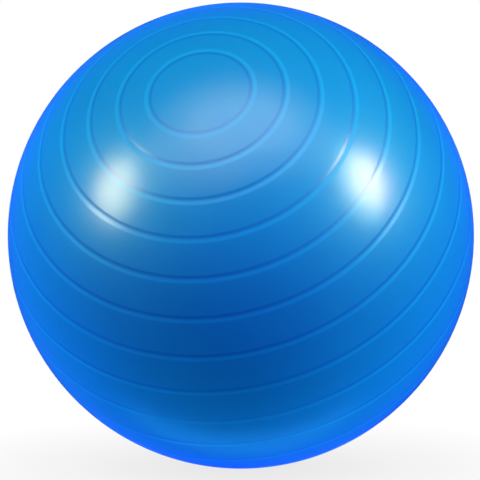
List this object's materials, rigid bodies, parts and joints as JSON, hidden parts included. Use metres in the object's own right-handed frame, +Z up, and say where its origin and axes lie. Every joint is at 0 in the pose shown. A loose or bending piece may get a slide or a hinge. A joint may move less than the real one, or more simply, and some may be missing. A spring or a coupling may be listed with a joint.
{
  "type": "exercise ball",
  "caption": "Hollow inflatable ball with shallow ring grooves around a leaning moulding axis, and a plugged valve at its lower pole.",
  "frame": {"origin": "the point where the ball touches the floor, at the bottom centre of its box", "axes": "+Z up. The moulding axis, which the ring grooves go round, leans 45 degrees from +Z towards +X and -Y alike; its blank pole faces +X, -Y and up, and the valve's pole faces -X, +Y and down"},
  "size_m": [0.6499, 0.6499, 0.65],
  "materials": {
    "ball_vinyl": "satin",
    "seat_vinyl": "satin",
    "plug_plastic": "satin"
  },
  "bodies": {
    "ball": {"ball_skin": "ball_vinyl", "valve_seat": "seat_vinyl"},
    "plug": {"valve_plug": "plug_plastic"}
  },
  "joints": [
    {"name": "plug_pull", "type": "slide", "parent": "ball", "child": "plug", "axis": [-0.5, 0.5, -0.7071], "range_m": [0, 0.025]}
  ]
}
